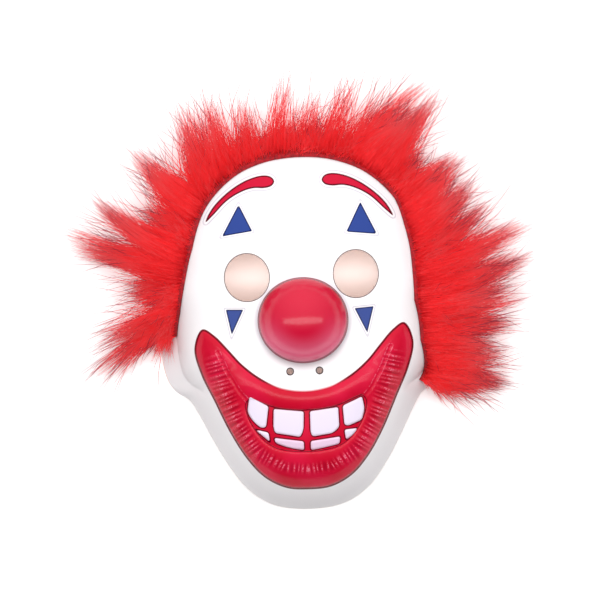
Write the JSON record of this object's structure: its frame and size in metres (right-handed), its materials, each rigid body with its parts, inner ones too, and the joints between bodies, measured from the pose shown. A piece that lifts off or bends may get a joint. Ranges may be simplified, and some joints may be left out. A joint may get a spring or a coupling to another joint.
{
  "type": "clown mask",
  "caption": "Vacuum-formed clown half-shell face mask with ball nose, grinning mouth, eye holes and a long-pile fur strip round the brow.",
  "frame": {"origin": "on the rim's plane, under the middle of the whole mask with its fur", "axes": "+X the mask's left to right as a viewer of the face sees it, +Y from chin to crown, +Z the way the face looks"},
  "size_m": [0.2962, 0.2868, 0.0853],
  "materials": {
    "face_shell": "glossy white sheet, painted crimson and blue",
    "fur_strip": "bright red long-pile faux fur"
  },
  "bodies": {
    "root": {"face_shell": "face_shell", "fur_strip": "fur_strip"}
  },
  "joints": []
}
